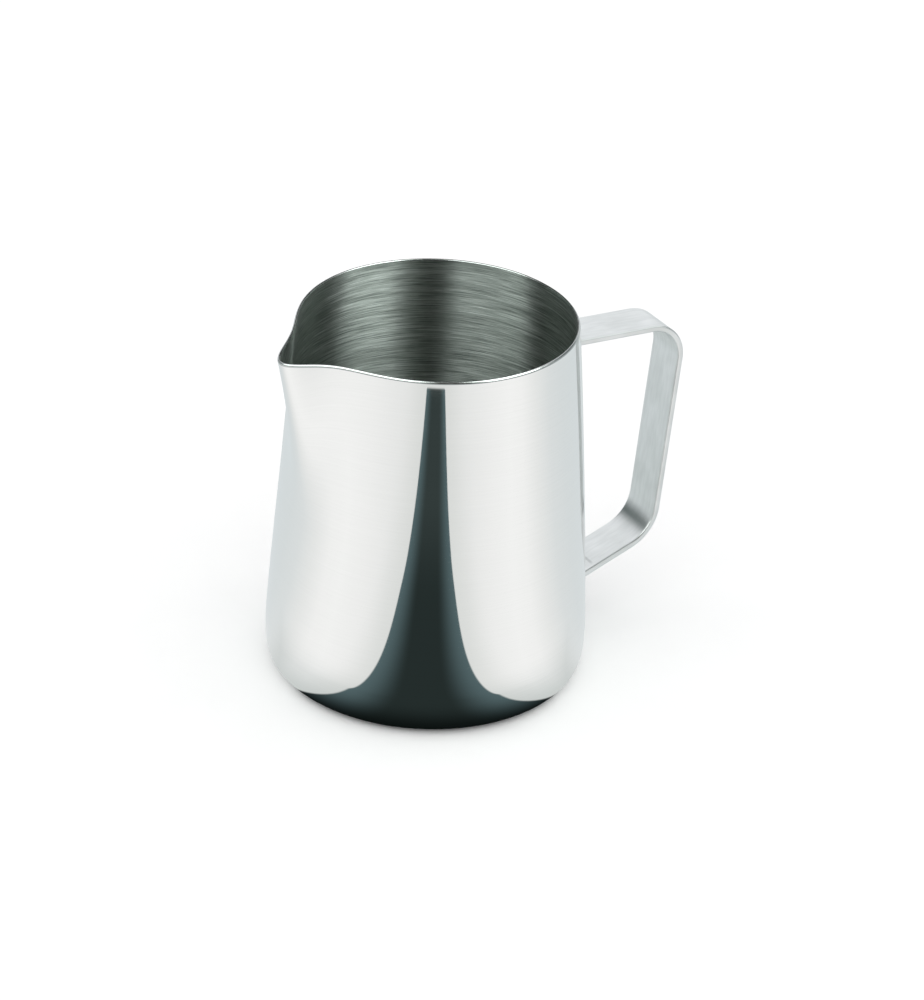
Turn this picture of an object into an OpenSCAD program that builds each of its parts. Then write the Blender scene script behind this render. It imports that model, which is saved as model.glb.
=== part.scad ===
// Milk frothing pitcher: a drawn steel jug with a pressed pouring lip and a
// bent strap handle, whose two feet are spot-welded to the wall.
// +Z is up, the origin is the centre of the base, the lip points to -X and
// the handle to +X.

/* [Jug] */
// Height of the rim above the table
jug_h = 110; // [90:1:130]
// Largest radius, low on the belly
belly_r = 47.2; // [44:0.1:52]
// Radius at the rim
rim_r = 39.8; // [37:0.1:43]
// Radius of the flat of the base
base_r = 40.8; // [36:0.1:42]
// Height of the rounded corner between base and wall
corner_h = 12; // [10:0.5:16]
// Thickness of the sheet
sheet_t = 0.8; // [0.6:0.1:1.2]

/* [Lip] */
// How far the lip stands out from the rim
lip_out = 11.3; // [6:0.1:16]
// Angle from the tip over which the lip falls back to the rim
lip_angle = 14; // [10:0.5:20]
// How far the tip of the lip dips below the rim
lip_dip = 3; // [0:0.5:6]
// Height at which the lip begins to swell out of the wall
lip_start = 57; // [40:1:80]
// How the lip gathers towards the rim, 1 for a straight crease
lip_power = 1.45; // [1.2:0.1:2.4]

/* [Handle] */
// Width of the strap
strap_w = 13.8; // [10:0.1:18]
// Thickness of the strap
strap_t = 1.9; // [1.2:0.05:2.5]
// Rounding of the strap's long edges
strap_edge = 0.4; // [0.1:0.05:0.5]
// Upper bend of the grip, distance from the axis
grip_top_x = 80.5; // [74:0.1:90]
// Upper bend of the grip, height
grip_top_z = 94.4; // [88:0.1:98]
// Lower bend of the grip, distance from the axis
grip_low_x = 75.1; // [68:0.1:84]
// Lower bend of the grip, height
grip_low_z = 25.4; // [22:0.1:34]
// Radius of the upper bend, at mid thickness
bend_top_r = 11; // [6:0.5:14]
// Radius of the lower bend, at mid thickness
bend_low_r = 13; // [6:0.5:16]
// Angle by which the upper arm rises towards the jug
arm_top_rise = 2; // [0:0.5:6]
// Angle by which the lower arm falls towards the jug
arm_low_fall = 20.6; // [12:0.2:22]
// Height of the flat of each welded foot
foot_h = 11; // [8:0.5:14]
// Radius of the bend at each foot, at mid thickness
foot_bend_r = 2.4; // [1.8:0.1:3.5]

/* [Welds] */
// Diameter of one spot weld
weld_d = 4; // [3:0.5:5]
// Distance between the two welds of a foot
weld_gap = 6.6; // [5.6:0.2:7.6]
// Depth of the electrode mark on the foot
weld_dish = 0.15; // [0:0.05:0.3]

/* [Hidden] */

// Curve handles of the side view of the jug.
corner_low = 6.2;
corner_high = 8;
wall_low = 1;
wall_high = 33;
rim_lean = 0.1;

// Divisions of the shell.
around = 72;
corner_rings = 5;
wall_rings = 14;
rim_rings = 4;
// Share by which the divisions crowd towards the lip.
crowding = 0.72;
probe = 0.05;

// Clearance between the wall and a foot, and around a weld.
seat = 0.05;
weld_fit = 0.02;
// How far the flat strap runs into the curved foot.
foot_lap = 1;
strap_fn = 64;
round_fn = 180;

// ---------------------------------------------------------------- the jug

function curve(p, t) =
    pow(1 - t, 3) * p[0] + 3 * pow(1 - t, 2) * t * p[1]
    + 3 * (1 - t) * t * t * p[2] + pow(t, 3) * p[3];

// The sheet ends in a half round, whose top is the rim's full height.
wall_top = jug_h - sheet_t / 2;

corner = [
    [base_r, 0], [base_r + corner_low, 0],
    [belly_r, corner_h - corner_high], [belly_r, corner_h]
];
wall = [
    [belly_r, corner_h], [belly_r, corner_h + wall_low],
    [rim_r + rim_lean * wall_high, wall_top - wall_high], [rim_r, wall_top]
];

// Side view of the jug without its lip: v runs 0 to 1 over the corner and
// 1 to 2 over the wall.
function side(v) = v < 1 ? curve(corner, v) : curve(wall, v - 1);

function swell(z) = pow(max(0, (z - lip_start) / (wall_top - lip_start)), lip_power);
function fan(a) = pow(1 + pow(a / lip_angle, 2), -1.5);

// Outside of the jug: a is the angle from the lip, -180 to 180.
function skin(a, v) =
    let (p = side(v), s = swell(p.y) * fan(a), r = p.x + lip_out * s)
    [-r * cos(a), -r * sin(a), p.y - lip_dip * s];

function unit(w) = w / norm(w);
function up_the_wall(a, v) =
    unit(skin(a, min(2, v + probe)) - skin(a, max(0, v - probe)));
function round_the_wall(a, v) = unit(skin(a + probe, v) - skin(a - probe, v));
function outward(a, v) =
    v == 0 ? [0, 0, -1] : unit(cross(round_the_wall(a, v), up_the_wall(a, v)));

function angle_at(i) =
    let (u = 360 * i / around - 180) u - crowding * sin(u) * 180 / PI;

function rim_point(a, turn) =
    let (n = outward(a, 2), t = unit(cross(n, round_the_wall(a, 2))))
    skin(a, 2) - n * sheet_t / 2 + (n * cos(turn) + t * sin(turn)) * sheet_t / 2;

// Rings from the middle of the base, up the outside, over the rim and down
// the inside to the floor.
steps = concat(
    [for (k = [0:corner_rings - 1]) k / corner_rings],
    [for (k = [0:wall_rings]) 1 + k / wall_rings]
);
last = len(steps) - 1;
rings = concat(
    [for (v = steps) [for (i = [0:around - 1]) skin(angle_at(i), v)]],
    [for (k = [1:rim_rings]) [for (i = [0:around - 1]) rim_point(angle_at(i), 180 * k / rim_rings)]],
    [for (k = [last - 1:-1:0])
        [for (i = [0:around - 1])
            skin(angle_at(i), steps[k]) - sheet_t * outward(angle_at(i), steps[k])]]
);
shell_points = concat([for (r = rings) for (p = r) p], [[0, 0, 0], [0, 0, sheet_t]]);
base_middle = len(rings) * around;
floor_middle = base_middle + 1;
shell_faces = concat(
    [for (k = [0:len(rings) - 2]) for (i = [0:around - 1])
        let (j = (i + 1) % around, a = k * around, b = a + around)
        each [[a + i, b + i, b + j], [a + i, b + j, a + j]]],
    [for (i = [0:around - 1]) [base_middle, i, (i + 1) % around]],
    [for (i = [0:around - 1])
        let (a = (len(rings) - 1) * around)
        [floor_middle, a + (i + 1) % around, a + i]]
);

module body_shell() {
    color("silver") polyhedron(shell_points, shell_faces, convexity = 6);
}

// -------------------------------------------------------------- the handle

// Radius of the wall at a height, found by halving.
function height_share(z, low = 0, high = 1, n = 24) =
    n == 0 ? (low + high) / 2
    : let (m = (low + high) / 2)
      curve(wall, m).y < z ? height_share(z, m, high, n - 1) : height_share(z, low, m, n - 1);
function wall_r(z) = curve(wall, height_share(z)).x;

grip_top = [grip_top_x, grip_top_z];
grip_low = [grip_low_x, grip_low_z];

// Where the arms would meet the wall, and the feet that lie on it there.
arm_top_z = grip_top.y + (grip_top.x - wall_r(grip_top.y)) * tan(arm_top_rise);
arm_low_z = grip_low.y - (grip_low.x - belly_r) * tan(arm_low_fall);
top_foot = [arm_top_z - foot_bend_r - foot_h, arm_top_z - foot_bend_r];
low_foot = [arm_low_z + 2 * foot_bend_r, arm_low_z + 2 * foot_bend_r + foot_h];

// Mid thickness of a foot at a height, in side view.
function foot_mid(z) = [wall_r(z) + seat + strap_t / 2, z];

// Where the line of a foot meets the line of its arm.
function meeting(p, d, q, e) =
    p + d * ((q.x - p.x) * e.y - (q.y - p.y) * e.x) / (d.x * e.y - d.y * e.x);
top_line = foot_mid(top_foot[1]) - foot_mid(top_foot[0]);
low_line = foot_mid(low_foot[1]) - foot_mid(low_foot[0]);
top_heel = meeting(foot_mid(top_foot[0]), top_line, grip_top, [-cos(arm_top_rise), sin(arm_top_rise)]);
low_heel = meeting(foot_mid(low_foot[0]), low_line, grip_low, [-cos(arm_low_fall), -sin(arm_low_fall)]);

// Side view of the strap at mid thickness, foot to foot, with its bends.
route = [foot_mid(top_foot[1] - foot_lap), top_heel, grip_top, grip_low, low_heel,
         foot_mid(low_foot[0] + foot_lap)];
bend_r = [0, foot_bend_r, bend_top_r, bend_low_r, foot_bend_r, 0];

function heading(i) = unit(route[i + 1] - route[i]);
function turn(i) =
    let (a = heading(i - 1), b = heading(i))
    atan2(a.x * b.y - a.y * b.x, a.x * b.x + a.y * b.y);
function setback(i) = bend_r[i] == 0 ? 0 : bend_r[i] * tan(abs(turn(i)) / 2);

module strap_section() {
    square([strap_t, strap_w - 2 * strap_edge], center = true);
    square([strap_t - 2 * strap_edge, strap_w], center = true);
    for (x = [-1, 1], y = [-1, 1])
        translate([x * (strap_t / 2 - strap_edge), y * (strap_w / 2 - strap_edge)])
            circle(strap_edge, $fn = strap_fn);
}

module strap_run(i) {
    d = heading(i);
    p = route[i] + d * setback(i);
    run = norm(route[i + 1] - route[i]) - setback(i) - setback(i + 1);
    translate([p.x, 0, p.y])
        rotate([0, atan2(d.x, d.y), 0])
            linear_extrude(run) strap_section();
}

module strap_bend(i) {
    d = heading(i - 1);
    side_sign = sign(turn(i));
    across = [-d.y, d.x] * side_sign;
    middle = route[i] - d * setback(i) + across * bend_r[i];
    from = atan2(-across.y, -across.x);
    translate([middle.x, 0, middle.y])
        rotate([90, 0, 0])
            rotate_extrude(angle = turn(i), start = from, $fn = round_fn)
                translate([bend_r[i], 0]) strap_section();
}

// A foot: a band of strap that is curved to the wall.
module foot(low, high) {
    intersection() {
        rotate_extrude($fn = round_fn) polygon([
            [wall_r(low) + seat, low], [wall_r(low) + seat + strap_t, low],
            [wall_r(high) + seat + strap_t, high], [wall_r(high) + seat, high]
        ]);
        translate([0, -strap_w / 2, low - 1])
            cube([2 * belly_r, strap_w, high - low + 2]);
    }
}

// A round through both welds' places on a foot.
module weld_pins(z, r) {
    for (y = [-weld_gap / 2, weld_gap / 2])
        translate([wall_r(z) - weld_d, y, z])
            rotate([0, 90, 0])
                cylinder(h = 2 * weld_d, r = r, $fn = strap_fn);
}

module weld_band(z, depth) {
    low = z - weld_d;
    high = z + weld_d;
    rotate_extrude($fn = round_fn) polygon([
        [wall_r(low), low], [wall_r(low) + depth, low],
        [wall_r(high) + depth, high], [wall_r(high), high]
    ]);
}

top_weld_z = (top_foot[0] + top_foot[1]) / 2;
low_weld_z = (low_foot[0] + low_foot[1]) / 2;

module handle_strap() {
    color("lightgray") difference() {
        union() {
            for (i = [0:4]) strap_run(i);
            for (i = [1:4]) strap_bend(i);
            foot(top_foot[0], top_foot[1]);
            foot(low_foot[0], low_foot[1]);
        }
        weld_pins(top_weld_z, weld_d / 2 + weld_fit);
        weld_pins(low_weld_z, weld_d / 2 + weld_fit);
    }
}

// --------------------------------------------------------------- the welds

module spot_welds(z) {
    intersection() {
        weld_pins(z, weld_d / 2);
        weld_band(z, seat + strap_t - weld_dish);
    }
}

module upper_spot_welds() {
    color("dimgray") spot_welds(top_weld_z);
}

module lower_spot_welds() {
    color("dimgray") spot_welds(low_weld_z);
}

body_shell();
handle_strap();
upper_spot_welds();
lower_spot_welds();
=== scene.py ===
"""Looks for the milk frothing pitcher: a polished jug, brushed inside, with a satin strap handle.

Everything is in metres in the row frame: +Z up, the pouring lip towards -X, the handle towards +X.
"""

import math

import bmesh
import bpy
import numpy as np
from mathutils import Matrix, Vector


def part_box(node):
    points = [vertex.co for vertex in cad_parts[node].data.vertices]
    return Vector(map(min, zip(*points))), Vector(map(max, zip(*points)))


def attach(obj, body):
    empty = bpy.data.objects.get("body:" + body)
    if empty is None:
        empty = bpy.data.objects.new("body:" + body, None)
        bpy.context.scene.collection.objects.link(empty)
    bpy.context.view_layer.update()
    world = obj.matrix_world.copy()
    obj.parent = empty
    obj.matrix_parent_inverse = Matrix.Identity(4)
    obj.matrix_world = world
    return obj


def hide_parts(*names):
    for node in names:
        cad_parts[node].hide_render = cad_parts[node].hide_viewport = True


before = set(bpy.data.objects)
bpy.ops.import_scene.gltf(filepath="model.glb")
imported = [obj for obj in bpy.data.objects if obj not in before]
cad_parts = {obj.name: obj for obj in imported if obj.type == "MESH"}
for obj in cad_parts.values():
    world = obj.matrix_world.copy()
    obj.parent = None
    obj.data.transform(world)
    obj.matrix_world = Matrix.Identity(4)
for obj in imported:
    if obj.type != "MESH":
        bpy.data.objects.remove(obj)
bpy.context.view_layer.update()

MM = 0.001

# ---------------------------------------------------------------- sizes of the jug
JUG_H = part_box("body_shell")[1].z
BELLY_R = 47.2 * MM
RIM_R = 39.8 * MM
BASE_R = 40.8 * MM
CORNER_H = 12 * MM
CORNER_LOW = 6.2 * MM
CORNER_HIGH = 8 * MM
WALL_LOW = 6 * MM
WALL_HIGH = 33 * MM
RIM_LEAN = 0.1
SHEET_T = 0.8 * MM
# The rim's edge is ground round, mostly from the outside.
RIM_OUTER = (0.45 * MM, 0.8 * MM)
RIM_INNER = (0.35 * MM, 0.4 * MM)

# The pouring lip.
LIP_OUT = 11.3 * MM
LIP_ANGLE = math.radians(14)
LIP_DIP = 3 * MM
LIP_START = 57 * MM
LIP_POWER = 1.45

# ---------------------------------------------------------------- sizes of the strap
STRAP_W = 2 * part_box("handle_strap")[1].y
STRAP_T = 1.9 * MM
STRAP_EDGE = 0.55 * MM
GRIP_TOP = np.array([80.5, 94.4]) * MM
GRIP_LOW = np.array([75.1, 25.4]) * MM
BEND_TOP_R = 11 * MM
BEND_LOW_R = 13 * MM
ARM_TOP_RISE = math.radians(2)
ARM_LOW_FALL = math.radians(20.6)
FOOT_H = 11 * MM
FOOT_BEND_R = 2.4 * MM
FOOT_CORNER = 2 * MM
SEAT = 0.05 * MM

# The spot welds.
WELD_R = 2 * MM
WELD_GAP = 6.6 * MM
WELD_FIT = 0.02 * MM
WELD_DISH = 0.15 * MM


# ---------------------------------------------------------------- shape of the jug
def bezier(points, t):
    """Points of a cubic curve at the parameters t."""
    p = np.array(points)
    t = np.asarray(t, float)[..., None]
    near_start = (1 - t) ** 3 * p[0] + 3 * (1 - t) ** 2 * t * p[1]
    return near_start + 3 * (1 - t) * t * t * p[2] + t ** 3 * p[3]


WALL_TOP = JUG_H - SHEET_T / 2
CURVE_STEPS = 400
CORNER = [
    (BASE_R, 0),
    (BASE_R + CORNER_LOW, 0),
    (BELLY_R, CORNER_H - CORNER_HIGH),
    (BELLY_R, CORNER_H),
]
WALL = [
    (BELLY_R, CORNER_H),
    (BELLY_R, CORNER_H + WALL_LOW),
    (RIM_R + RIM_LEAN * WALL_HIGH, WALL_TOP - WALL_HIGH),
    (RIM_R, WALL_TOP),
]


def side(v):
    """Radius and height along the jug's side: v is 0 to 1 over the corner, 1 to 2 over the wall."""
    v = np.asarray(v, float)
    on_corner = bezier(CORNER, np.clip(v, 0, 1))
    on_wall = bezier(WALL, np.clip(v - 1, 0, 1))
    return np.where((v < 1)[..., None], on_corner, on_wall)


def skin(a, v):
    """Outside of the jug: a is the angle from the lip."""
    p = side(v)
    rise = np.clip((p[..., 1] - LIP_START) / (WALL_TOP - LIP_START), 0, None) ** LIP_POWER
    swell = rise * (1 + (a / LIP_ANGLE) ** 2) ** -1.5
    r = p[..., 0] + LIP_OUT * swell
    return np.stack([-r * np.cos(a), -r * np.sin(a), p[..., 1] - LIP_DIP * swell], -1)


def unit(w):
    """Vectors cut to length 1."""
    return w / np.linalg.norm(w, axis=-1, keepdims=True)


def frame_of_skin(a, v, step=1e-3):
    """Unit vectors at a point of the skin: outward, and up the wall."""
    up = unit(skin(a, np.clip(v + step, 0, 2)) - skin(a, np.clip(v - step, 0, 2)))
    along = unit(skin(a + step, v) - skin(a - step, v))
    out = unit(np.cross(along, up))
    return out, unit(np.cross(out, along))


# ---------------------------------------------------------------- mesh helpers
def new_mesh(name, points, faces, slots=None):
    """A smooth-shaded object from points, faces and each face's material number."""
    mesh = bpy.data.meshes.new(name)
    mesh.from_pydata([tuple(map(float, p)) for p in points], [], [tuple(map(int, f)) for f in faces])
    if slots is not None:
        mesh.polygons.foreach_set("material_index", np.asarray(slots, np.int32))
    mesh.polygons.foreach_set("use_smooth", np.ones(len(faces), bool))
    mesh.validate()
    mesh.update()
    piece = bpy.data.objects.new(name, mesh)
    bpy.context.scene.collection.objects.link(piece)
    return piece


def ring_faces(rings, around):
    """Quads that join rings of points, each closed on itself."""
    faces = []
    for k in range(rings - 1):
        for i in range(around):
            j = (i + 1) % around
            low = k * around
            high = low + around
            faces.append((low + i, low + j, high + j, high + i))
    return faces


# ---------------------------------------------------------------- the jug
AROUND = 320
CROWDING = 0.72
CORNER_RINGS = 18
WALL_RINGS = 70
RIM_RINGS = 8
FLAT_RINGS = 6
OUTSIDE, RIM, INSIDE = range(3)


def make_shell():
    """The jug as one closed sheet: base, outside, rim, inside and floor."""
    u = np.linspace(-math.pi, math.pi, AROUND, endpoint=False)
    a = u - CROWDING * np.sin(u)
    rings, kinds = [], []
    flat = np.linspace(0, 1, FLAT_RINGS + 1)[1:]
    levels = np.linspace(1, 2, CURVE_STEPS)
    top = np.interp(JUG_H - RIM_OUTER[1], side(levels)[:, 1], levels)
    corner_steps = np.linspace(0, 1, CORNER_RINGS, endpoint=False)
    steps = np.concatenate([corner_steps, np.linspace(1, top, WALL_RINGS + 1)])

    edge = skin(a, np.zeros(AROUND))
    for k in flat[:-1]:
        rings.append(edge * k)
        kinds.append(OUTSIDE)
    for v in steps:
        rings.append(skin(a, np.full(AROUND, v)))
        kinds.append(OUTSIDE)
    out, up = frame_of_skin(a, np.full(AROUND, top))
    turns = [math.pi / 2 * k / RIM_RINGS for k in range(1, RIM_RINGS + 1)]
    wall_end = rings[-1]
    for turn in turns:
        inward = out * RIM_OUTER[0] * (1 - math.cos(turn))
        rings.append(wall_end - inward + up * RIM_OUTER[1] * math.sin(turn))
        kinds.append(RIM)
    crest = rings[-1]
    for turn in turns:
        inward = out * RIM_INNER[0] * math.sin(turn)
        rings.append(crest - inward - up * RIM_INNER[1] * (1 - math.cos(turn)))
        kinds.append(RIM)
    for v in steps[::-1]:
        level = np.full(AROUND, v)
        out, _ = frame_of_skin(a, level)
        if v == 0:
            out = np.tile([0.0, 0.0, -1.0], (AROUND, 1))
        rings.append(skin(a, level) - out * SHEET_T)
        kinds.append(INSIDE)
    for k in flat[-2::-1]:
        rings.append(edge * k + np.array([0, 0, SHEET_T]))
        kinds.append(INSIDE)

    points = np.concatenate(rings + [np.array([[0, 0, 0], [0, 0, SHEET_T]])])
    faces = ring_faces(len(rings), AROUND)
    slots = [kinds[k + 1] for k in range(len(rings) - 1) for _ in range(AROUND)]
    base_middle = len(points) - 2
    floor_middle = len(points) - 1
    last = (len(rings) - 1) * AROUND
    for i in range(AROUND):
        j = (i + 1) % AROUND
        faces.append((base_middle, j, i))
        slots.append(OUTSIDE)
        faces.append((floor_middle, last + i, last + j))
        slots.append(INSIDE)
    return new_mesh("jug_shell", points, faces, slots)


# ---------------------------------------------------------------- the strap
def wall_r(z):
    """Radius of the wall at a height."""
    t = np.linspace(0, 1, CURVE_STEPS)
    p = bezier(WALL, t)
    return float(np.interp(z, p[:, 1], p[:, 0]))


def foot_mid(z):
    """Mid thickness of a foot at a height, in side view."""
    return np.array([wall_r(z) + SEAT + STRAP_T / 2, z])


def meeting(p, d, q, e):
    """Where two lines of the side view meet."""
    return p + d * ((q[0] - p[0]) * e[1] - (q[1] - p[1]) * e[0]) / (d[0] * e[1] - d[1] * e[0])


def strap_route():
    """Corners of the strap's mid line in side view, the radius at each, and the heights of both feet."""
    top_z = GRIP_TOP[1] + (GRIP_TOP[0] - wall_r(GRIP_TOP[1])) * math.tan(ARM_TOP_RISE)
    low_z = GRIP_LOW[1] - (GRIP_LOW[0] - BELLY_R) * math.tan(ARM_LOW_FALL)
    top_foot = (top_z - FOOT_BEND_R - FOOT_H, top_z - FOOT_BEND_R)
    low_foot = (low_z + 2 * FOOT_BEND_R, low_z + 2 * FOOT_BEND_R + FOOT_H)
    ends = [foot_mid(z) for z in top_foot + low_foot]
    top_arm = np.array([-math.cos(ARM_TOP_RISE), math.sin(ARM_TOP_RISE)])
    low_arm = np.array([-math.cos(ARM_LOW_FALL), -math.sin(ARM_LOW_FALL)])
    top_heel = meeting(ends[0], ends[1] - ends[0], GRIP_TOP, top_arm)
    low_heel = meeting(ends[2], ends[3] - ends[2], GRIP_LOW, low_arm)
    corners = [ends[0], top_heel, GRIP_TOP, GRIP_LOW, low_heel, ends[3]]
    radii = [0, FOOT_BEND_R, BEND_TOP_R, BEND_LOW_R, FOOT_BEND_R, 0]
    return corners, radii, top_foot, low_foot


def turning(angle):
    """Matrix that turns a side-view vector."""
    return np.array([[math.cos(angle), -math.sin(angle)], [math.sin(angle), math.cos(angle)]])


BEND_FINENESS = 1.5
LEAST_IN_BEND = 8


def rounded_route(corners, radii, step):
    """Points and headings along a line with rounded corners, no further apart than a step."""
    points, headings = [], []
    done = corners[0]
    for i in range(1, len(corners)):
        d = unit(corners[i] - corners[i - 1])
        bend = i < len(corners) - 1
        angle = 0
        if bend:
            e = unit(corners[i + 1] - corners[i])
            angle = math.atan2(d[0] * e[1] - d[1] * e[0], float(d @ e))
        setback = radii[i] * math.tan(abs(angle) / 2)
        stop = corners[i] - d * setback
        n = max(2, math.ceil(np.linalg.norm(stop - done) / step))
        for k in range(n):
            points.append(done + (stop - done) * k / n)
            headings.append(d)
        if not bend:
            points.append(stop)
            headings.append(d)
            break
        across = np.array([-d[1], d[0]]) * math.copysign(1, angle)
        middle = stop + across * radii[i]
        n = max(LEAST_IN_BEND, math.ceil(abs(angle) * radii[i] / step * BEND_FINENESS))
        for k in range(n):
            turn = turning(angle * k / n)
            points.append(middle - turn @ across * radii[i])
            headings.append(turn @ d)
        done = middle - turning(angle) @ across * radii[i]
    return np.array(points), np.array(headings)


STRAP_STEP = 0.6 * MM
STRAP_ACROSS = 24
EDGE_STEPS = 6


def strap_section():
    """Outline of the strip across its length: x through the thickness, y over the width."""
    outline = []
    for sx, sy, start in ((1, -1, -90), (1, 1, 0), (-1, 1, 90), (-1, -1, 180)):
        centre = np.array([sx * (STRAP_T / 2 - STRAP_EDGE), sy * (STRAP_W / 2 - STRAP_EDGE)])
        for k in range(EDGE_STEPS + 1):
            t = math.radians(start + 90 * k / EDGE_STEPS)
            outline.append(centre + STRAP_EDGE * np.array([math.cos(t), math.sin(t)]))
        if sx == 1 and sy == -1 or sx == -1 and sy == 1:
            first = outline[-1]
            last = first + np.array([0, -2 * sy * (STRAP_W / 2 - STRAP_EDGE)])
            for k in range(1, STRAP_ACROSS):
                outline.append(first + (last - first) * k / STRAP_ACROSS)
    return np.array(outline)


def smooth(t):
    """A smooth step from 0 to 1."""
    t = np.clip(t, 0, 1)
    return t * t * (3 - 2 * t)


# Share of a foot and its bend where the strip starts to flatten, and over which it goes flat.
HUG_SHARE = 0.6


def make_strap():
    """The bent strip, whose feet curve across their width to lie on the wall."""
    corners, radii, _, _ = strap_route()
    mid, heading = rounded_route(corners, radii, STRAP_STEP)
    run = np.concatenate([[0], np.cumsum(np.linalg.norm(np.diff(mid, axis=0), axis=1))])
    length = run[-1]
    hug_run = FOOT_H + 2 * FOOT_BEND_R
    section = strap_section()
    rings = []
    for k in range(len(mid)):
        end = min(run[k], length - run[k])
        hug = 1 - smooth((end - hug_run * HUG_SHARE) / (hug_run * HUG_SHARE))
        normal = np.array([-heading[k][1], heading[k][0]])
        across = section[:, 1].copy()
        if end < FOOT_CORNER:
            narrow = FOOT_CORNER - math.sqrt(FOOT_CORNER ** 2 - (FOOT_CORNER - end) ** 2)
            across *= 1 - narrow / (STRAP_W / 2)
        r = wall_r(min(max(mid[k][1], CORNER_H), WALL_TOP))
        sag = r - np.sqrt(r * r - across ** 2)
        x = mid[k][0] + normal[0] * section[:, 0] - hug * sag
        z = mid[k][1] + normal[1] * section[:, 0]
        rings.append(np.stack([x, across, z], 1))
    around = len(section)
    faces = [f[::-1] for f in ring_faces(len(rings), around)]
    points = np.concatenate(rings)
    last = (len(rings) - 1) * around
    faces.append(tuple(range(around)))
    faces.append(tuple(range(last, last + around))[::-1])
    return new_mesh("handle_strip", points, faces)


# ---------------------------------------------------------------- the welds
NUGGET_AROUND = 48
# Side view of a nugget from its middle out: share of its radius, and share of the dish's depth.
NUGGET_TOP = [
    (0, 1), (0.25, 0.98), (0.5, 0.9), (0.68, 0.72), (0.8, 0.4),
    (0.88, 0.1), (0.93, 0.15), (0.97, 0.4), (1, 0.8),
]
SAME_POINT = 1e-6


def foot_surface(y, z):
    """Distance from the jug's middle plane to the outer face of a foot."""
    return math.sqrt((wall_r(z) + SEAT + STRAP_T) ** 2 - y * y)


def make_nuggets(name, foot):
    """A foot's two welds: dished electrode marks on plugs that reach the wall."""
    z0 = sum(foot) / 2
    points, faces = [], []
    for y0 in (-WELD_GAP / 2, WELD_GAP / 2):
        start = len(points)
        for share, depth in NUGGET_TOP + [(1, None)]:
            for k in range(NUGGET_AROUND):
                t = 2 * math.pi * k / NUGGET_AROUND
                y = y0 + WELD_R * share * math.cos(t)
                z = z0 + WELD_R * share * math.sin(t)
                sunk = STRAP_T + SEAT if depth is None else WELD_DISH * depth
                points.append((foot_surface(y, z) - sunk, y, z))
        rings = len(NUGGET_TOP) + 1
        faces += [tuple(start + i for i in face) for face in ring_faces(rings, NUGGET_AROUND)]
        last = start + (rings - 1) * NUGGET_AROUND
        faces.append(tuple(range(last, last + NUGGET_AROUND))[::-1])
    piece = new_mesh(name, points, faces)
    shape = bmesh.new()
    shape.from_mesh(piece.data)
    bmesh.ops.remove_doubles(shape, verts=shape.verts, dist=SAME_POINT)
    bmesh.ops.recalc_face_normals(shape, faces=shape.faces)
    shape.to_mesh(piece.data)
    shape.free()
    return piece


def cut_weld_holes(strap, feet):
    """Cuts the welds' places out of the feet."""
    bits = bmesh.new()
    for foot in feet:
        for y in (-WELD_GAP / 2, WELD_GAP / 2):
            z = sum(foot) / 2
            middle = Matrix.Translation((wall_r(z) + STRAP_T / 2, y, z))
            place = middle @ Matrix.Rotation(math.pi / 2, 4, "Y")
            bmesh.ops.create_cone(
                bits, cap_ends=True, segments=NUGGET_AROUND,
                radius1=WELD_R + WELD_FIT, radius2=WELD_R + WELD_FIT, depth=3 * STRAP_T, matrix=place,
            )
    mesh = bpy.data.meshes.new("weld_bits")
    bits.to_mesh(mesh)
    bits.free()
    cutter = bpy.data.objects.new("weld_bits", mesh)
    bpy.context.scene.collection.objects.link(cutter)
    cut = strap.modifiers.new("welds", "BOOLEAN")
    cut.operation = "DIFFERENCE"
    cut.solver = "EXACT"
    cut.object = cutter
    bpy.context.view_layer.update()
    evaluated = strap.evaluated_get(bpy.context.evaluated_depsgraph_get())
    done = bpy.data.meshes.new_from_object(evaluated)
    strap.modifiers.clear()
    strap.data = done
    bpy.data.objects.remove(cutter)


# ---------------------------------------------------------------- node helpers
def node(tree, kind, **values):
    """A new node with some of its inputs set by name."""
    new = tree.nodes.new("ShaderNode" + kind)
    for name, value in values.items():
        new.inputs[name.replace("_", " ")].default_value = value
    return new


def calc(tree, operation, *values):
    """A sum over numbers and sockets."""
    new = tree.nodes.new("ShaderNodeMath")
    new.operation = operation
    for socket, value in zip(new.inputs, values):
        if isinstance(value, (int, float)):
            socket.default_value = value
        else:
            tree.links.new(value, socket)
    return new.outputs[0]


def step_up(tree, value, low, high, to_low=0.0, to_high=1.0):
    """A smooth step of a value between two limits."""
    new = tree.nodes.new("ShaderNodeMapRange")
    new.interpolation_type = "SMOOTHSTEP"
    new.inputs["From Min"].default_value = low
    new.inputs["From Max"].default_value = high
    new.inputs["To Min"].default_value = to_low
    new.inputs["To Max"].default_value = to_high
    tree.links.new(value, new.inputs["Value"])
    return new.outputs["Result"]


def ramp(tree, value, stops):
    """Colours along a value: stops are (position, colour)."""
    new = tree.nodes.new("ShaderNodeValToRGB")
    while len(new.color_ramp.elements) < len(stops):
        new.color_ramp.elements.new(0.5)
    for element, (position, colour) in zip(new.color_ramp.elements, stops):
        element.position = position
        element.color = (*colour, 1)
    tree.links.new(value, new.inputs["Fac"])
    return new.outputs["Color"]


def blend(tree, share, first, second, mode="MIX"):
    """Two colours mixed: each is a socket or plain numbers."""
    new = tree.nodes.new("ShaderNodeMix")
    new.data_type = "RGBA"
    new.blend_type = mode
    for name, value in (("Factor_Float", share), ("A_Color", first), ("B_Color", second)):
        socket = next(i for i in new.inputs if i.identifier == name)
        if isinstance(value, (int, float)):
            socket.default_value = value
        elif isinstance(value, tuple):
            socket.default_value = (*value, 1)
        else:
            tree.links.new(value, socket)
    return next(o for o in new.outputs if o.identifier == "Result_Color")


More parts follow.
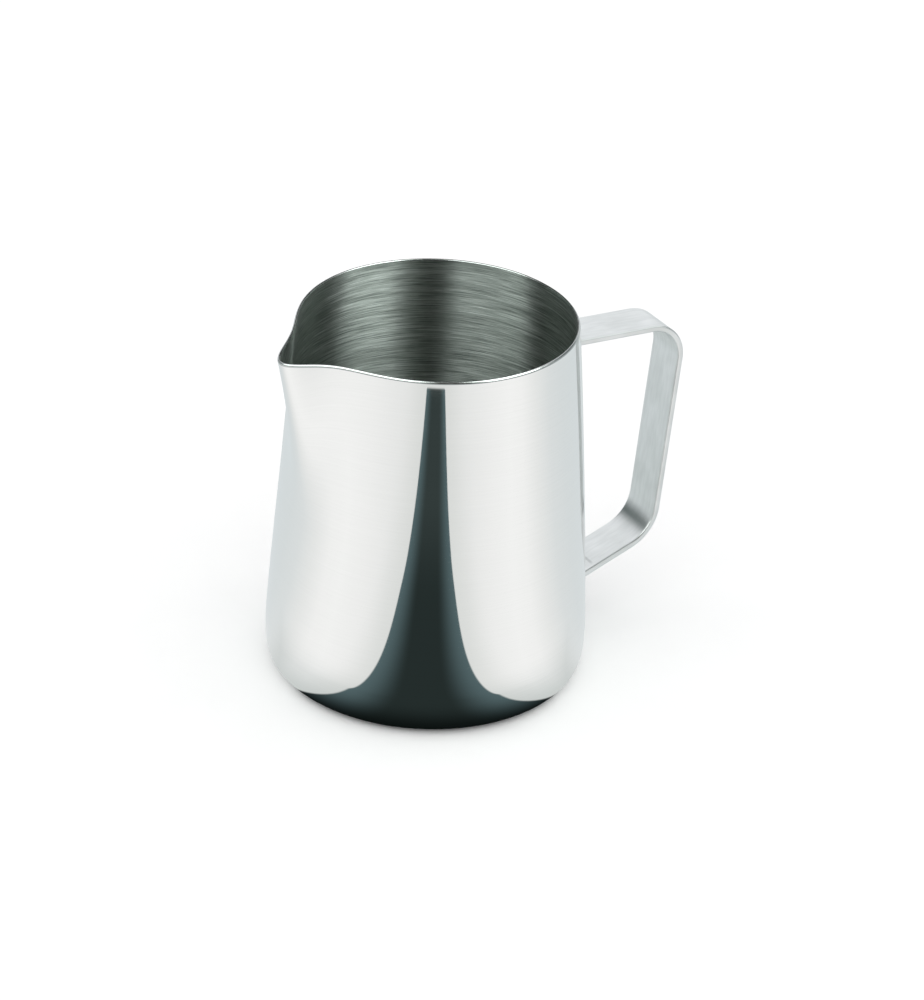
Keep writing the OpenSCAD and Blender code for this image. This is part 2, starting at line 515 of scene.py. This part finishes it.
def material(name):
    """A node material with only its Principled shader."""
    new = bpy.data.materials.new(name)
    new.use_nodes = True
    tree = new.node_tree
    tree.nodes.clear()
    out = node(tree, "OutputMaterial")
    shader = node(tree, "BsdfPrincipled")
    tree.links.new(shader.outputs["BSDF"], out.inputs["Surface"])
    return new, tree, shader


def stretched_noise(tree, scale, detail=3.0, roughness=0.6):
    """Noise over the object's own coordinates, with a scale for each axis."""
    place = node(tree, "TexCoord")
    stretch = node(tree, "Mapping", Scale=scale)
    noise = node(tree, "TexNoise", Scale=1.0, Detail=detail, Roughness=roughness)
    tree.links.new(place.outputs["Object"], stretch.inputs["Vector"])
    tree.links.new(stretch.outputs["Vector"], noise.inputs["Vector"])
    return noise.outputs["Fac"]


def radius_of(tree, x, y):
    """Distance from the jug's axis."""
    squares = calc(tree, "ADD", calc(tree, "MULTIPLY", x, x), calc(tree, "MULTIPLY", y, y))
    return calc(tree, "SQRT", squares)


def round_marks(tree, along, across, detail=3.0, roughness=0.6):
    """Noise drawn out round the jug's axis, on the wall, the corner and the floor alike."""
    place = node(tree, "TexCoord")
    split = node(tree, "SeparateXYZ")
    tree.links.new(place.outputs["Object"], split.inputs["Vector"])
    x, y, z = split.outputs
    r = radius_of(tree, x, y)
    drawn = tree.nodes.new("ShaderNodeCombineXYZ")
    tree.links.new(calc(tree, "MULTIPLY", x, along), drawn.inputs["X"])
    tree.links.new(calc(tree, "MULTIPLY", y, along), drawn.inputs["Y"])
    tree.links.new(calc(tree, "MULTIPLY", calc(tree, "ADD", z, r), across), drawn.inputs["Z"])
    noise = node(tree, "TexNoise", Scale=1.0, Detail=detail, Roughness=roughness)
    tree.links.new(drawn.outputs["Vector"], noise.inputs["Vector"])
    return noise.outputs["Fac"]


def bump(tree, shader, value, distance, strength):
    """Raises the surface's look by a value."""
    new = node(tree, "Bump", Distance=distance, Strength=strength)
    tree.links.new(value, new.inputs["Height"])
    tree.links.new(new.outputs["Normal"], shader.inputs["Normal"])


def brushed_round(tree, shader, amount):
    """Spreads reflections up and down, across marks that run round the jug's axis."""
    tangent = tree.nodes.new("ShaderNodeTangent")
    tangent.direction_type = "RADIAL"
    tangent.axis = "Z"
    tree.links.new(tangent.outputs["Tangent"], shader.inputs["Tangent"])
    shader.inputs["Anisotropic"].default_value = amount
    shader.inputs["Anisotropic Rotation"].default_value = 0.25


# ---------------------------------------------------------------- materials
def polished_steel():
    """Mirror-polished stainless steel with the faintest trace of the polishing wheel."""
    steel, tree, shader = material("polished_steel")
    shader.inputs["Metallic"].default_value = 1
    wheel = round_marks(tree, 40, 2600)
    tint = ramp(tree, wheel, [(0.3, (0.882, 0.886, 0.878)), (0.7, (0.90, 0.904, 0.896))])
    tree.links.new(tint, shader.inputs["Base Color"])
    tree.links.new(step_up(tree, wheel, 0.3, 0.7, 0.02, 0.045), shader.inputs["Roughness"])
    return steel


def rim_steel():
    """The rounded edge of the sheet: rougher than the wall, and darker in colour as painted shade that dims
    its highlight.
    """
    steel, tree, shader = material("rim_steel")
    shader.inputs["Metallic"].default_value = 1
    grind = stretched_noise(tree, (400, 400, 1500))
    # Painted shade: the same steel as the wall, darkened in colour so that the rim's highlight stays grey.
    tint = ramp(tree, grind, [(0.3, (0.50, 0.52, 0.51)), (0.7, (0.60, 0.62, 0.61))])
    tree.links.new(tint, shader.inputs["Base Color"])
    tree.links.new(step_up(tree, grind, 0.3, 0.7, 0.12, 0.22), shader.inputs["Roughness"])
    return steel


def brushed_steel():
    """The inside, with long brush marks that run round it."""
    steel, tree, shader = material("brushed_steel")
    shader.inputs["Metallic"].default_value = 1
    marks = round_marks(tree, 90, 4400, detail=4, roughness=0.7)
    bands = round_marks(tree, 30, 700, detail=2)
    tint = ramp(tree, marks, [
        (0.34, (0.24, 0.265, 0.25)), (0.5, (0.47, 0.505, 0.48)), (0.68, (0.80, 0.84, 0.81)),
    ])
    shade = ramp(tree, bands, [(0.3, (0.78, 0.79, 0.78)), (0.7, (1, 1, 1))])
    tree.links.new(blend(tree, 1.0, tint, shade, "MULTIPLY"), shader.inputs["Base Color"])
    tree.links.new(step_up(tree, bands, 0.3, 0.7, 0.35, 0.41), shader.inputs["Roughness"])
    brushed_round(tree, shader, 1.0)
    bump(tree, shader, marks, 0.02 * MM, 0.35)
    return steel


# A thin darker line across the lower arm: where it lies along the arm, its soft edges, the height it stays
# under and its half length.
CROSS_LINE_X = 54.6 * MM
CROSS_LINE_EDGE = (0.6 * MM, 0.1 * MM)
CROSS_LINE_UNDER = (30 * MM, 29 * MM)
CROSS_LINE_HALF = (5.8 * MM, 4 * MM)
CROSS_LINE_SHARE = 0.5
CROSS_LINE_TINT = (0.42, 0.44, 0.43)


def satin_steel():
    """The strip: a fine grain along it, cloudy patches, and a thin darker line across the lower arm."""
    steel, tree, shader = material("satin_steel")
    shader.inputs["Metallic"].default_value = 1
    grain = stretched_noise(tree, (150, 800, 150), detail=1)
    cloud = stretched_noise(tree, (120, 120, 120), detail=1)
    tint = ramp(tree, grain, [(0.3, (0.80, 0.815, 0.81)), (0.7, (0.87, 0.885, 0.88))])
    patches = ramp(tree, cloud, [(0.35, (0.93, 0.935, 0.93)), (0.65, (1, 1, 1))])
    clouded = blend(tree, 1.0, tint, patches, "MULTIPLY")
    place = node(tree, "TexCoord")
    split = node(tree, "SeparateXYZ")
    tree.links.new(place.outputs["Object"], split.inputs["Vector"])
    x, y, z = split.outputs
    # A thin darker line mixed into the colour across the lower arm.
    away = calc(tree, "ABSOLUTE", calc(tree, "SUBTRACT", x, CROSS_LINE_X))
    under = step_up(tree, z, *CROSS_LINE_UNDER)
    inboard = step_up(tree, calc(tree, "ABSOLUTE", y), *CROSS_LINE_HALF)
    cross_line = calc(tree, "MULTIPLY", step_up(tree, away, *CROSS_LINE_EDGE), calc(tree, "MULTIPLY", under, inboard))
    with_cross_line = blend(tree, calc(tree, "MULTIPLY", cross_line, CROSS_LINE_SHARE), clouded, CROSS_LINE_TINT)
    tree.links.new(with_cross_line, shader.inputs["Base Color"])
    shader.inputs["Roughness"].default_value = 0.3
    return steel


def heated_steel():
    """The welds: dull, grainy, and straw-coloured in patches from the heat."""
    steel, tree, shader = material("heated_steel")
    shader.inputs["Metallic"].default_value = 1
    heat = stretched_noise(tree, (700, 700, 700), detail=3)
    tint = ramp(tree, heat, [
        (0.3, (0.48, 0.44, 0.37)), (0.55, (0.62, 0.61, 0.58)), (0.75, (0.50, 0.53, 0.56)),
    ])
    tree.links.new(tint, shader.inputs["Base Color"])
    tree.links.new(step_up(tree, heat, 0.3, 0.7, 0.35, 0.5), shader.inputs["Roughness"])
    bump(tree, shader, heat, 0.02 * MM, 0.5)
    return steel


# ---------------------------------------------------------------- camera
CAMERA_TURN = math.radians(32)
CAMERA_RISE = math.radians(28.98)
CAMERA_ROLL = math.radians(3.04)
CAMERA_DISTANCE = 1.0
CAMERA_LENS = 124.06
CAMERA_AIM = Vector((0.00897, 0, 0.05165))
HEADING = Matrix.Rotation(-CAMERA_TURN, 4, "Z")


def make_camera():
    """A long lens from the lip's side, rolled a little, as the photograph was framed."""
    sight = Vector((0, math.cos(CAMERA_RISE), -math.sin(CAMERA_RISE)))
    right = Vector((1, 0, 0))
    above = Vector((0, math.sin(CAMERA_RISE), math.cos(CAMERA_RISE)))
    rolled_right = right * math.cos(CAMERA_ROLL) + above * math.sin(CAMERA_ROLL)
    rolled_above = above * math.cos(CAMERA_ROLL) - right * math.sin(CAMERA_ROLL)
    place = Matrix((rolled_right, rolled_above, -sight)).transposed().to_4x4()
    place.translation = CAMERA_AIM - sight * CAMERA_DISTANCE
    data = bpy.data.cameras.new("camera")
    data.lens = CAMERA_LENS
    data.sensor_width = 36
    data.clip_start = 0.01
    camera = bpy.data.objects.new("camera", data)
    camera.matrix_world = HEADING @ place
    bpy.context.scene.collection.objects.link(camera)
    bpy.context.scene.camera = camera


# ---------------------------------------------------------------- studio
# The steel mirrors its studio, so the studio is what most of its looks are: white cards that lie on
# the table on both sides, with a dark strip of bare table between them, and soft boxes over it.
# Distances are from the jug's axis. A pair is where a change starts and where it is done, or the values
# it goes between.
STRIP_HALF = (38 * MM, 46 * MM)
STRIP_WIDENS = (60 * MM, 170 * MM)
STRIP_SOFT = 1.5 * MM
STRIP_MIDDLE = (1.5 * MM, 9 * MM)
STRIP_DRIFTS = (60 * MM, 400 * MM)
# Behind the jug, cards cover the strip near it.
BACK_AT = (0, 1 * MM)
BACK_STRIP = (330 * MM, 150 * MM)
STRIP_END = (400 * MM, 460 * MM)
CARDS_END = (520 * MM, 900 * MM)
# The strip's colours: dark by the jug, then paler with distance, and teal towards its edges.
STRIP_PALES = (43 * MM, 66 * MM)
STRIP_FAR = (150 * MM, 260 * MM)
STRIP_TEAL = (0.35, 1.05)
# The cards' shade: round the jug's front, and beside the strip as a slope from the axis.
BASE_SHADE_END = (44 * MM, 85 * MM)
BASE_SHADE_ROUND = (1.2, 1.7)
EDGE_SHADE_END = (0, 0.3)
# The cards behind the jug, past this azimuth in radians, run on without an end.
BACK_CARDS = (2.45, 2.35)
HORIZON = (0.40, 0.43, 0.44)
TABLE_DARK = (0.004, 0.006, 0.0055)
TABLE_MIDDLE = (0.020, 0.029, 0.028)
TABLE_FAR = (0.037, 0.050, 0.049)
TABLE_TEAL = (0.092, 0.140, 0.150)
BASE_SHADE = (0.72, 0.75, 0.75)
EDGE_SHADE = (0.89, 0.90, 0.89)
# The cards' light by azimuth from the camera, in half turns.
CARDS = [
    (0.0, (0.86, 0.865, 0.86)), (0.14, (0.88, 0.885, 0.88)), (0.23, (0.945, 0.945, 0.94)),
    (0.31, (0.985, 0.985, 0.98)), (0.37, (0.965, 0.965, 0.96)), (0.44, (0.865, 0.875, 0.87)),
    (0.52, (0.765, 0.795, 0.80)), (0.61, (0.725, 0.765, 0.775)), (0.78, (0.70, 0.75, 0.765)),
    (1.0, (0.72, 0.76, 0.77)),
]
# Half the stage's width, and how far the table lies under the floor.
SIZE = 3.0
TABLE_GAP = 0.5 * MM
# Only glossy rays meet the table and the flag.
HIDDEN_RAYS = ("visible_camera", "visible_diffuse", "visible_shadow", "visible_transmission")


def glow(name):
    """A material that only shines, with its object's coordinates split up."""
    new = bpy.data.materials.new(name)
    new.use_nodes = True
    tree = new.node_tree
    tree.nodes.clear()
    out = node(tree, "OutputMaterial")
    light = node(tree, "Emission", Strength=1.0)
    tree.links.new(light.outputs["Emission"], out.inputs["Surface"])
    place = node(tree, "TexCoord")
    split = node(tree, "SeparateXYZ")
    tree.links.new(place.outputs["Object"], split.inputs["Vector"])
    return new, tree, light, split.outputs


def table_glow():
    """What the steel sees of the table: white cards with some shade on them, and the dark strip."""
    new, tree, light, (x, y, _) = glow("table_glow")
    r = radius_of(tree, x, y)
    drifted = step_up(tree, r, *STRIP_DRIFTS, *STRIP_MIDDLE)
    aside = calc(tree, "ABSOLUTE", calc(tree, "SUBTRACT", x, drifted))
    half = step_up(tree, r, *STRIP_WIDENS, *STRIP_HALF)
    over = calc(tree, "SUBTRACT", aside, half)
    behind = calc(tree, "MULTIPLY", step_up(tree, y, *BACK_AT), step_up(tree, y, *BACK_STRIP))
    beside = step_up(tree, over, -STRIP_SOFT / 2, STRIP_SOFT / 2)
    beyond = step_up(tree, r, *STRIP_END)
    off_strip = calc(tree, "MAXIMUM", calc(tree, "MAXIMUM", beside, behind), beyond)
    inward = calc(tree, "DIVIDE", aside, half)
    middle = blend(tree, step_up(tree, r, *STRIP_FAR), TABLE_MIDDLE, TABLE_FAR)
    across = blend(tree, step_up(tree, inward, *STRIP_TEAL), middle, TABLE_TEAL)
    strip = blend(tree, step_up(tree, r, *STRIP_PALES), TABLE_DARK, across)
    heading = calc(tree, "ARCTAN2", aside, calc(tree, "MULTIPLY", y, -1.0))
    lit = ramp(tree, calc(tree, "DIVIDE", heading, math.pi), CARDS)
    off_base = calc(
        tree, "MAXIMUM", step_up(tree, r, *BASE_SHADE_END), step_up(tree, heading, *BASE_SHADE_ROUND),
    )
    by_base = blend(tree, off_base, BASE_SHADE, (1, 1, 1))
    off_edge = step_up(tree, calc(tree, "DIVIDE", over, r), *EDGE_SHADE_END)
    by_strip = blend(tree, off_edge, EDGE_SHADE, (1, 1, 1))
    shade = blend(tree, 1.0, by_base, by_strip, "MULTIPLY")
    shaded = blend(tree, 1.0, lit, shade, "MULTIPLY")
    past = calc(tree, "MULTIPLY", step_up(tree, r, *CARDS_END), step_up(tree, heading, *BACK_CARDS))
    cards = blend(tree, past, shaded, HORIZON)
    tree.links.new(blend(tree, off_strip, strip, cards), light.inputs["Color"])
    return new


def plane(name, half, z):
    """A square of the stage, turned towards the camera."""
    corners = [(-half, -half, z), (half, -half, z), (half, half, z), (-half, half, z)]
    piece = new_mesh(name, corners, [(0, 1, 2, 3)])
    piece.matrix_world = HEADING
    return piece


# The flag hangs round the back of the mouth.
FLAG_R = 55 * MM
FLAG_LOW = 119 * MM
FLAG_HIGH = 300 * MM
FLAG_FROM = math.radians(138)
FLAG_TO = math.radians(360 - 118)
FLAG_STEPS = 48
FLAG = (0.05, 0.055, 0.05)


def make_flag():
    """A black band that hangs behind the mouth, so that the inside darkens towards both its ends."""
    points = []
    for k in range(FLAG_STEPS + 1):
        a = FLAG_FROM + (FLAG_TO - FLAG_FROM) * k / FLAG_STEPS
        points += [(FLAG_R * math.sin(a), -FLAG_R * math.cos(a), z) for z in (FLAG_LOW, FLAG_HIGH)]
    faces = [(2 * k, 2 * k + 2, 2 * k + 3, 2 * k + 1) for k in range(FLAG_STEPS)]
    flag = new_mesh("flag", points, faces)
    flag.matrix_world = HEADING
    black, _, light, _ = glow("flag_black")
    light.inputs["Color"].default_value = (*FLAG, 1)
    flag.data.materials.append(black)
    for ray in HIDDEN_RAYS:
        setattr(flag, ray, False)


def make_stage():
    """The pale floor, and under it the table that only the steel sees."""
    paint, tree, shader = material("pale_floor")
    mottle = stretched_noise(tree, (40, 40, 40))
    tint = ramp(tree, mottle, [(0, (0.93, 0.93, 0.93)), (1, (0.96, 0.96, 0.96))])
    tree.links.new(tint, shader.inputs["Base Color"])
    shader.inputs["Roughness"].default_value = 0.9
    shader.inputs["Specular IOR Level"].default_value = 0
    floor = plane("floor", SIZE, 0)
    floor.data.materials.append(paint)
    floor.visible_glossy = False
    table = plane("table", SIZE, -TABLE_GAP)
    table.data.materials.append(table_glow())
    for ray in HIDDEN_RAYS:
        setattr(table, ray, False)


# What stands round the table, by its azimuth from the camera in turns: black flags, pale walls and soft
# boxes, low down and higher up, with a skyline under them.
FRONT_FLAG = (0.05, 0.047, 0.04)
LOW_FLAG = (0.04, 0.065, 0.06)
BACK_PALE = (0.88, 0.90, 0.92)
BOX = (0.95, 1.0, 0.98)
LOW = [
    (0.0, BACK_PALE), (0.10, BACK_PALE), (0.125, LOW_FLAG), (0.25, LOW_FLAG),
    (0.275, BOX), (0.465, BOX), (0.49, FRONT_FLAG), (0.585, FRONT_FLAG),
    (0.61, BOX), (0.775, BOX), (0.80, LOW_FLAG), (0.89, LOW_FLAG),
    (0.91, BACK_PALE), (1.0, BACK_PALE),
]
HIGH = [
    (0.0, BACK_PALE), (0.235, BACK_PALE), (0.265, BOX), (0.465, BOX),
    (0.49, FRONT_FLAG), (0.585, FRONT_FLAG), (0.61, BOX), (0.785, BOX),
    (0.81, BACK_PALE), (1.0, BACK_PALE),
]
SKYLINE = [
    (0.0, BACK_PALE), (0.11, BACK_PALE), (0.13, HORIZON), (0.88, HORIZON),
    (0.90, BACK_PALE), (1.0, BACK_PALE),
]
# Where each gives way to the next, by the z of the ray: skyline, low, high, overhead.
SKYLINE_TO_LOW = (0.10, 0.22)
LOW_TO_HIGH = (0.40, 0.60)
HIGH_TO_OVERHEAD = (0.85, 0.97)
OVERHEAD = (0.20, 0.22, 0.22)
DAYLIGHT = 1.12


# Two soft boxes for the jug alone: azimuth from the camera, rise, width and height in metres, and watts.
SOFT_BOXES = [
    (math.radians(-44), math.radians(37), 1.15, 0.9, 6.8),
    (math.radians(64), math.radians(37), 0.85, 0.9, 8.5),
]
SOFT_BOX_TINT = (0.92, 1.0, 0.96)
SOFT_BOX_AWAY = 1.0


def make_soft_boxes(jug):
    """Area lights that reach into the mouth."""
    lit = bpy.data.collections.new("lit_by_soft_boxes")
    lit.objects.link(jug)
    mouth = Vector((0, 0, JUG_H))
    for k, (azimuth, rise, width, height, power) in enumerate(SOFT_BOXES):
        data = bpy.data.lights.new(f"soft_box_{k}", "AREA")
        data.shape = "RECTANGLE"
        data.size = width
        data.size_y = height
        data.energy = power
        data.color = SOFT_BOX_TINT
        box = bpy.data.objects.new(f"soft_box_{k}", data)
        away = Vector((
            math.sin(azimuth) * math.cos(rise), -math.cos(azimuth) * math.cos(rise), math.sin(rise),
        ))
        place = away.to_track_quat("Z", "Y").to_matrix().to_4x4()
        place.translation = mouth + away * SOFT_BOX_AWAY
        box.matrix_world = HEADING @ place
        box.visible_camera = False
        box.light_linking.receiver_collection = lit
        bpy.context.scene.collection.objects.link(box)


def make_world():
    """Even white light, which the steel sees as soft boxes to the left and right, with dark between."""
    world = bpy.data.worlds.new("studio")
    world.use_nodes = True
    tree = world.node_tree
    tree.nodes.clear()
    out = node(tree, "OutputWorld")
    back = node(tree, "Background", Strength=1.0)
    tree.links.new(back.outputs["Background"], out.inputs["Surface"])
    place = node(tree, "TexCoord")
    turned = node(tree, "Mapping", Rotation=(0, 0, CAMERA_TURN))
    split = node(tree, "SeparateXYZ")
    tree.links.new(place.outputs["Generated"], turned.inputs["Vector"])
    tree.links.new(turned.outputs["Vector"], split.inputs["Vector"])
    x, y, z = split.outputs
    heading = calc(tree, "ARCTAN2", x, calc(tree, "MULTIPLY", y, -1.0))
    turns = calc(tree, "ADD", calc(tree, "DIVIDE", heading, 2 * math.pi), 0.5)
    walls = blend(tree, step_up(tree, z, *LOW_TO_HIGH), ramp(tree, turns, LOW), ramp(tree, turns, HIGH))
    standing = blend(tree, step_up(tree, z, *SKYLINE_TO_LOW), ramp(tree, turns, SKYLINE), walls)
    seen = blend(tree, step_up(tree, z, *HIGH_TO_OVERHEAD), standing, OVERHEAD)
    rays = node(tree, "LightPath")
    light = blend(tree, rays.outputs["Is Glossy Ray"], (DAYLIGHT, DAYLIGHT, DAYLIGHT), seen)
    tree.links.new(light, back.inputs["Color"])
    bpy.context.scene.world = world
    bpy.context.scene.view_settings.view_transform = "Standard"


# ---------------------------------------------------------------- the pitcher
def finish_piece(piece, node_name, slot, *finishes):
    """Gives a piece its materials, and puts it in place of its CAD node."""
    for finish in finishes:
        piece.data.materials.append(finish)
    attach(piece, "root")
    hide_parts(node_name)


make_camera()
make_stage()
make_flag()
make_world()
jug = make_shell()
make_soft_boxes(jug)

_, _, top_foot, low_foot = strap_route()
strap = make_strap()
cut_weld_holes(strap, (top_foot, low_foot))
welded = heated_steel()
finish_piece(jug, "body_shell", "shell_steel", polished_steel(), rim_steel(), brushed_steel())
finish_piece(strap, "handle_strap", "strap_steel", satin_steel())
finish_piece(make_nuggets("upper_nuggets", top_foot), "upper_spot_welds", "weld_steel", welded)
finish_piece(make_nuggets("lower_nuggets", low_foot), "lower_spot_welds", "weld_steel", welded)
